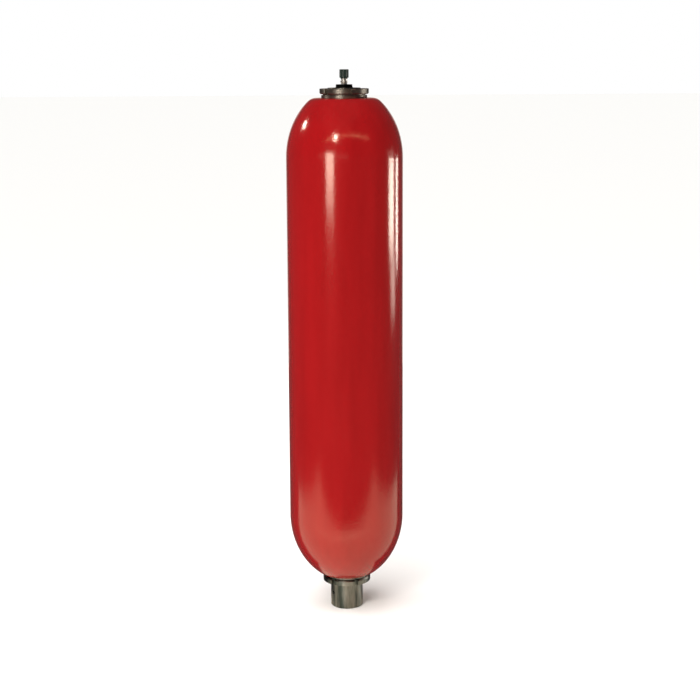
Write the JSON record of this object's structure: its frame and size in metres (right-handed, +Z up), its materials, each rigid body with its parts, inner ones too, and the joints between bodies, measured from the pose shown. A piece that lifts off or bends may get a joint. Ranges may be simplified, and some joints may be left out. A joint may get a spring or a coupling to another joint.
{
  "type": "bladder accumulator",
  "caption": "Upright hydraulic bladder accumulator: red steel shell with domed ends, threaded fluid port below, capped gas valve above, both held by slotted ring nuts.",
  "frame": {"origin": "centre of the fluid port's end face, the lowest point of the part", "axes": "+Z up the shell's axis from the fluid port to the gas valve; the bleed screw is to the front left, about 32 degrees from -X towards -Y"},
  "size_m": [0.229, 0.229, 1.0868],
  "materials": {
    "red_paint": "gloss",
    "phosphated_steel": "satin, oiled phosphate",
    "black_steel": "black oxide",
    "steel": "turned",
    "nickel": "bright plated",
    "brass": "turned",
    "rubber": "moulded",
    "white_plastic": "turned",
    "black_plastic": "moulded, ribbed"
  },
  "bodies": {
    "vessel": {"shell": "red_paint", "bladder": "rubber", "bladder_stem": "steel", "gas_plug": "phosphated_steel", "gas_split_ring": "steel", "gas_split_ring_rubber": "rubber", "gas_support_washer": "steel", "gas_o_ring": "rubber", "gas_backup_ring": "white_plastic", "gas_spacer_ring": "phosphated_steel", "gas_slotted_nut": "phosphated_steel", "stem_o_ring": "rubber", "stem_washer": "black_steel", "stem_lock_nut": "black_steel", "gas_valve_body": "nickel", "valve_seal": "rubber", "valve_core_barrel": "brass", "valve_core_spring": "steel", "fluid_port_body": "phosphated_steel", "bleed_screw": "black_steel", "bleed_seal": "rubber", "poppet_spring": "steel", "fluid_split_ring": "steel", "fluid_split_ring_rubber": "rubber", "fluid_support_washer": "steel", "fluid_o_ring": "rubber", "fluid_backup_ring": "white_plastic", "fluid_spacer_ring": "phosphated_steel", "fluid_slotted_nut": "phosphated_steel"},
    "poppet_valve": {"poppet": "steel", "poppet_brake_bush": "brass", "poppet_nut": "steel"},
    "valve_pin": {"valve_core_pin": "brass"},
    "cap": {"valve_cap": "black_plastic", "cap_seal": "rubber"}
  },
  "joints": [
    {"name": "poppet_lift", "type": "slide", "parent": "vessel", "child": "poppet_valve", "axis": [0, 0, 1], "range_m": [-0.012, 0], "stiffness_N_per_m": 5000, "springref_m": 0.004, "deforming": ["poppet_spring"]},
    {"name": "valve_pin_press", "type": "slide", "parent": "vessel", "child": "valve_pin", "axis": [0, 0, 1], "range_m": [-0.0014, 0], "stiffness_N_per_m": 800, "springref_m": 0.001, "deforming": ["valve_core_spring"]},
    {"name": "valve_cap_lift", "type": "slide", "parent": "vessel", "child": "cap", "axis": [0, 0, 1], "range_m": [0, 0.025]}
  ]
}
